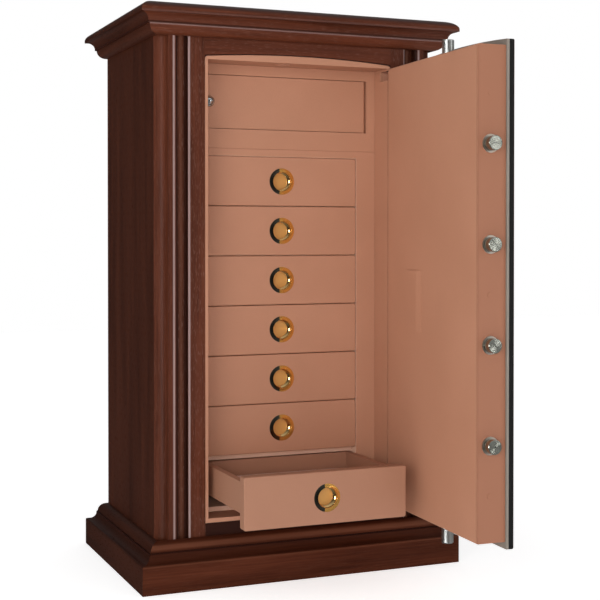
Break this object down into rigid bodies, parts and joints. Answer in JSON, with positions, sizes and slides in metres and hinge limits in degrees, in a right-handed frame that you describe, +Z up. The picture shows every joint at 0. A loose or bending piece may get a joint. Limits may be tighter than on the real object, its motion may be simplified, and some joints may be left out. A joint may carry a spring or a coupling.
{
  "type": "jewelry safe",
  "caption": "Jewelry safe in a mahogany cabinet, its leather-covered door open square, with drawers, brass recessed pulls and a flap compartment.",
  "frame": {"origin": "on the floor, under the middle of the cabinet", "axes": "+X to the right, +Y to the back, +Z up; the front faces -Y"},
  "size_m": [0.633, 0.7735, 1.05],
  "materials": {
    "mahogany": "open-pored satin lacquer",
    "runner_wood": "waxed",
    "leather": "fine grain, matte",
    "suede": "soft nap",
    "brass": "polished",
    "chrome": "polished",
    "steel": "ground",
    "grey_plate": "satin",
    "dark_panel": "satin lacquer",
    "painted_steel": "matte",
    "cast_filling": "rough cast"
  },
  "bodies": {
    "cabinet": {"plinth_front_and_back": "mahogany", "plinth_sides": "mahogany", "cornice_front_and_back": "mahogany", "cornice_sides": "mahogany", "base_board": "mahogany", "top_board": "mahogany", "side_panels": "mahogany", "back_panel": "mahogany", "corner_posts": "mahogany", "frame_stiles": "mahogany", "frame_rails": "mahogany", "safe_shell": "painted_steel", "barrier_fill": "cast_filling", "steel_liner": "painted_steel", "door_frame": "painted_steel", "levelling_feet": "steel", "hinge_pins": "steel", "lining": "leather", "drawer_case": "leather", "drawer_runners": "runner_wood", "compartment_frame": "leather"},
    "door": {"door_box": "leather", "door_plate": "grey_plate", "door_panel": "dark_panel", "lock_cover": "leather", "bolt_guides": "chrome", "door_plugs": "leather", "hinge_arms": "steel", "key_plate": "brass", "lock_case": "painted_steel"},
    "handle": {"door_handle": "brass", "handle_spindle": "steel"},
    "side_bolt_bar": {"side_bolts": "steel"},
    "upper_bolt": {"top_bolt": "steel"},
    "lower_bolt": {"bottom_bolt": "steel"},
    "key": {"key_cylinder": "brass"},
    "flap": {"compartment_flap": "leather"},
    "flap_lock": {"compartment_lock": "chrome", "compartment_cam": "steel"},
    "drawer_1_body": {"drawer_1": "leather", "cup_pull_1": "brass", "drawer_pad_1": "suede"},
    "drawer_2_body": {"drawer_2": "leather", "cup_pull_2": "brass", "drawer_pad_2": "suede"},
    "drawer_3_body": {"drawer_3": "leather", "cup_pull_3": "brass", "drawer_pad_3": "suede"},
    "drawer_4_body": {"drawer_4": "leather", "cup_pull_4": "brass", "drawer_pad_4": "suede"},
    "drawer_5_body": {"drawer_5": "leather", "cup_pull_5": "brass", "drawer_pad_5": "suede"},
    "drawer_6_body": {"drawer_6": "leather", "cup_pull_6": "brass", "drawer_pad_6": "suede"},
    "drawer_7_body": {"drawer_7": "leather", "cup_pull_7": "brass", "drawer_pad_7": "suede"}
  },
  "joints": [
    {"name": "door_hinge", "type": "hinge", "parent": "cabinet", "child": "door", "pos_m": [0.209, -0.1505, 0.5], "axis": [0, 0, 1], "range_deg": [-9, 2]},
    {"name": "handle_turn", "type": "hinge", "parent": "door", "child": "handle", "pos_m": [0.24056, -0.43578, 0.535], "axis": [-0.9994, 0.0349, 0], "range_deg": [0, 90]},
    {"name": "side_bolts_slide", "type": "slide", "parent": "door", "child": "side_bolt_bar", "axis": [0.0349, 0.9994, 0], "range_m": [0, 0.0185]},
    {"name": "top_bolt_slide", "type": "slide", "parent": "door", "child": "upper_bolt", "axis": [0, 0, -1], "range_m": [0, 0.028]},
    {"name": "bottom_bolt_slide", "type": "slide", "parent": "door", "child": "lower_bolt", "axis": [0, 0, 1], "range_m": [0, 0.033]},
    {"name": "key_turn", "type": "hinge", "parent": "door", "child": "key", "pos_m": [0.24554, -0.29336, 0.5135], "axis": [-0.9994, 0.0349, 0], "range_deg": [0, 90]},
    {"name": "flap_hinge", "type": "hinge", "parent": "cabinet", "child": "flap", "pos_m": [0.1565, -0.111, 0.8844], "axis": [0, 0, 1], "range_deg": [0, 85]},
    {"name": "flap_lock_turn", "type": "hinge", "parent": "flap", "child": "flap_lock", "pos_m": [-0.1595, -0.117, 0.8844], "axis": [0, -1, 0], "range_deg": [-90, 0]},
    {"name": "drawer_1_slide", "type": "slide", "parent": "cabinet", "child": "drawer_1_body", "axis": [0, -1, 0], "range_m": [0, 0.215]},
    {"name": "drawer_2_slide", "type": "slide", "parent": "cabinet", "child": "drawer_2_body", "axis": [0, -1, 0], "range_m": [0, 0.215]},
    {"name": "drawer_3_slide", "type": "slide", "parent": "cabinet", "child": "drawer_3_body", "axis": [0, -1, 0], "range_m": [0, 0.215]},
    {"name": "drawer_4_slide", "type": "slide", "parent": "cabinet", "child": "drawer_4_body", "axis": [0, -1, 0], "range_m": [0, 0.215]},
    {"name": "drawer_5_slide", "type": "slide", "parent": "cabinet", "child": "drawer_5_body", "axis": [0, -1, 0], "range_m": [0, 0.215]},
    {"name": "drawer_6_slide", "type": "slide", "parent": "cabinet", "child": "drawer_6_body", "axis": [0, -1, 0], "range_m": [0, 0.215]},
    {"name": "drawer_7_slide", "type": "slide", "parent": "cabinet", "child": "drawer_7_body", "axis": [0, -1, 0], "range_m": [-0.215, 0]}
  ],
  "couplings": [
    {"joint": "side_bolts_slide", "follows": "handle_turn", "m_per_rad": 0.011777},
    {"joint": "top_bolt_slide", "follows": "handle_turn", "m_per_rad": 0.017825},
    {"joint": "bottom_bolt_slide", "follows": "handle_turn", "m_per_rad": 0.021008}
  ]
}
